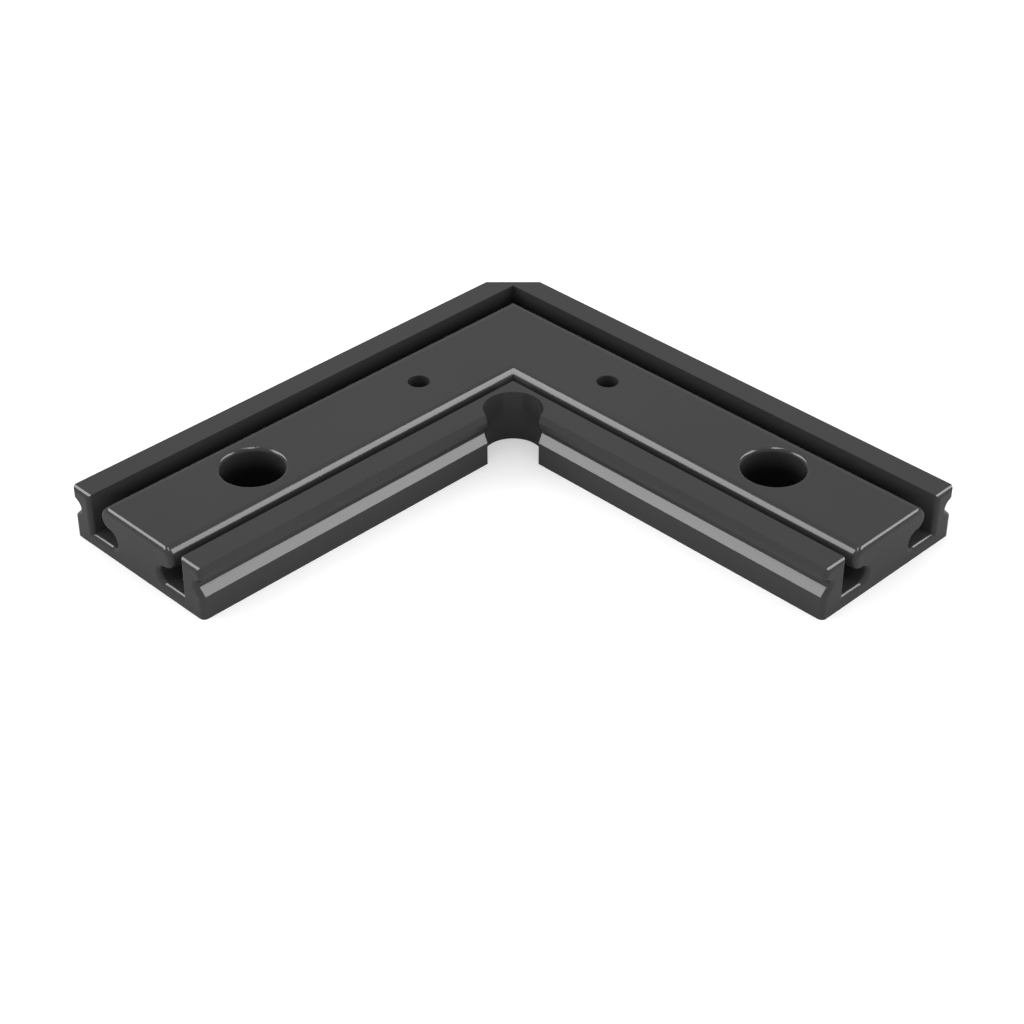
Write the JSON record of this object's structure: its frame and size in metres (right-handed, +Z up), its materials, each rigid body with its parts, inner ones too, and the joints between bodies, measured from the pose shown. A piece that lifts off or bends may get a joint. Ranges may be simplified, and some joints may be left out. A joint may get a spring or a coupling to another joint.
{
  "type": "angle connector",
  "caption": "Flat right-angle corner connector: two mitred arms with an undercut centre rib between open slots, V grooves along the long faces and through holes.",
  "frame": {"origin": "on the flat underside, where the centre lines of the two arms cross", "axes": "+X along one arm and +Y along the other, away from the corner; +Z up, from the underside to the rib"},
  "size_m": [0.0862, 0.0862, 0.0082],
  "materials": {
    "body": "gloss"
  },
  "bodies": {
    "root": {"connector": "body"}
  },
  "joints": []
}
